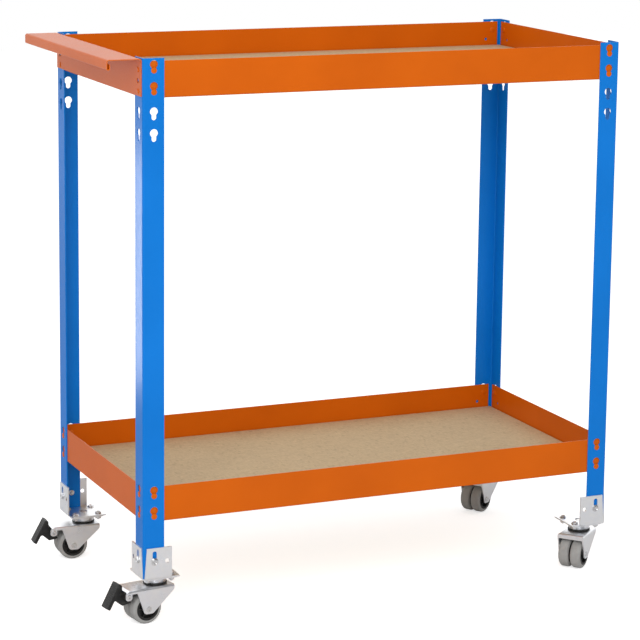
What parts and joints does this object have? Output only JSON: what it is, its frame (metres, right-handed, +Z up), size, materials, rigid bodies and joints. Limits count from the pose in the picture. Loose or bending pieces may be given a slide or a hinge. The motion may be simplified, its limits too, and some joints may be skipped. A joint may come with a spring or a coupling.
{
  "type": "mobile workbench",
  "caption": "Boltless mobile workbench with slotted angle posts, tray shelves of chipboard on folded beams, a push handle and swivel casters, braked at the handle end.",
  "frame": {"origin": "on the floor under the casters, midway between the four posts", "axes": "+Z up, +X along the length away from the push handle, +Y from front to back"},
  "size_m": [1.0248, 0.5011, 1.0265],
  "materials": {
    "post_blue": "satin powder coat",
    "beam_orange": "satin powder coat",
    "chipboard": "raw pressed chipboard",
    "zinc_sheet": "bright zinc plate",
    "fastener_steel": "zinc plated",
    "tyre_grey": "matt non-marking rubber",
    "core_black": "moulded",
    "pedal_black": "moulded, ribbed"
  },
  "bodies": {
    "frame": {"beam_studs": "beam_orange", "bottom_back_beam": "beam_orange", "bottom_board": "chipboard", "bottom_front_beam": "beam_orange", "bottom_left_beam": "beam_orange", "bottom_right_beam": "beam_orange", "bracket_back_left": "zinc_sheet", "bracket_back_right": "zinc_sheet", "bracket_bolts": "fastener_steel", "bracket_front_left": "zinc_sheet", "bracket_front_right": "zinc_sheet", "bracket_nuts": "fastener_steel", "caster_bolts": "fastener_steel", "caster_nuts": "fastener_steel", "caster_plate_back_left": "zinc_sheet", "caster_plate_back_right": "zinc_sheet", "caster_plate_front_left": "zinc_sheet", "caster_plate_front_right": "zinc_sheet", "handle_studs": "beam_orange", "king_pins": "fastener_steel", "post_back_left": "post_blue", "post_back_right": "post_blue", "post_front_left": "post_blue", "post_front_right": "post_blue", "push_handle": "beam_orange", "top_back_beam": "beam_orange", "top_board": "chipboard", "top_front_beam": "beam_orange", "top_left_beam": "beam_orange", "top_right_beam": "beam_orange"},
    "caster_front_left": {"fork_front_left": "zinc_sheet", "axle_front_left": "fastener_steel", "brake_pin_front_left": "fastener_steel"},
    "wheel_1_front_left": {"hub_1_front_left": "core_black", "tyre_1_front_left": "tyre_grey"},
    "wheel_2_front_left": {"hub_2_front_left": "core_black", "tyre_2_front_left": "tyre_grey"},
    "pedal_front_left": {"brake_pedal_front_left": "pedal_black"},
    "caster_front_right": {"fork_front_right": "zinc_sheet", "axle_front_right": "fastener_steel"},
    "wheel_1_front_right": {"hub_1_front_right": "core_black", "tyre_1_front_right": "tyre_grey"},
    "wheel_2_front_right": {"hub_2_front_right": "core_black", "tyre_2_front_right": "tyre_grey"},
    "caster_back_right": {"fork_back_right": "zinc_sheet", "axle_back_right": "fastener_steel"},
    "wheel_1_back_right": {"hub_1_back_right": "core_black", "tyre_1_back_right": "tyre_grey"},
    "wheel_2_back_right": {"hub_2_back_right": "core_black", "tyre_2_back_right": "tyre_grey"},
    "caster_back_left": {"fork_back_left": "zinc_sheet", "axle_back_left": "fastener_steel", "brake_pin_back_left": "fastener_steel"},
    "wheel_1_back_left": {"hub_1_back_left": "core_black", "tyre_1_back_left": "tyre_grey"},
    "wheel_2_back_left": {"hub_2_back_left": "core_black", "tyre_2_back_left": "tyre_grey"},
    "pedal_back_left": {"brake_pedal_back_left": "pedal_black"}
  },
  "joints": [
    {"name": "swivel_front_left", "type": "hinge", "parent": "frame", "child": "caster_front_left", "pos_m": [-0.44, -0.205, 0.086], "axis": [0, 0, 1], "continuous": true},
    {"name": "roll_1_front_left", "type": "hinge", "parent": "caster_front_left", "child": "wheel_1_front_left", "pos_m": [-0.46408, -0.2205, 0.029], "axis": [-0.1392, 0.9903, 0], "continuous": true},
    {"name": "roll_2_front_left", "type": "hinge", "parent": "caster_front_left", "child": "wheel_2_front_left", "pos_m": [-0.46742, -0.19673, 0.029], "axis": [-0.1392, 0.9903, 0], "continuous": true},
    {"name": "brake_front_left", "type": "hinge", "parent": "caster_front_left", "child": "pedal_front_left", "pos_m": [-0.50536, -0.21418, 0.058], "axis": [0.1392, -0.9903, 0], "range_deg": [0, 18]},
    {"name": "swivel_front_right", "type": "hinge", "parent": "frame", "child": "caster_front_right", "pos_m": [0.44, -0.205, 0.086], "axis": [0, 0, 1], "continuous": true},
    {"name": "roll_1_front_right", "type": "hinge", "parent": "caster_front_right", "child": "wheel_1_front_right", "pos_m": [0.4278, -0.2309, 0.029], "axis": [-0.6428, 0.766, 0], "continuous": true},
    {"name": "roll_2_front_right", "type": "hinge", "parent": "caster_front_right", "child": "wheel_2_front_right", "pos_m": [0.41237, -0.21252, 0.029], "axis": [-0.6428, 0.766, 0], "continuous": true},
    {"name": "swivel_back_right", "type": "hinge", "parent": "frame", "child": "caster_back_right", "pos_m": [0.44, 0.205, 0.086], "axis": [0, 0, 1], "continuous": true},
    {"name": "roll_1_back_right", "type": "hinge", "parent": "caster_back_right", "child": "wheel_1_back_right", "pos_m": [0.42473, 0.18077, 0.029], "axis": [-0.5446, 0.8387, 0], "continuous": true},
    {"name": "roll_2_back_right", "type": "hinge", "parent": "caster_back_right", "child": "wheel_2_back_right", "pos_m": [0.41166, 0.2009, 0.029], "axis": [-0.5446, 0.8387, 0], "continuous": true},
    {"name": "swivel_back_left", "type": "hinge", "parent": "frame", "child": "caster_back_left", "pos_m": [-0.44, 0.205, 0.086], "axis": [0, 0, 1], "continuous": true},
    {"name": "roll_1_back_left", "type": "hinge", "parent": "caster_back_left", "child": "wheel_1_back_left", "pos_m": [-0.46659, 0.19438, 0.029], "axis": [0.0523, 0.9986, 0], "continuous": true},
    {"name": "roll_2_back_left", "type": "hinge", "parent": "caster_back_left", "child": "wheel_2_back_left", "pos_m": [-0.46534, 0.21834, 0.029], "axis": [0.0523, 0.9986, 0], "continuous": true},
    {"name": "brake_back_left", "type": "hinge", "parent": "caster_back_left", "child": "pedal_back_left", "pos_m": [-0.50591, 0.20845, 0.058], "axis": [-0.0523, -0.9986, 0], "range_deg": [0, 18]}
  ]
}
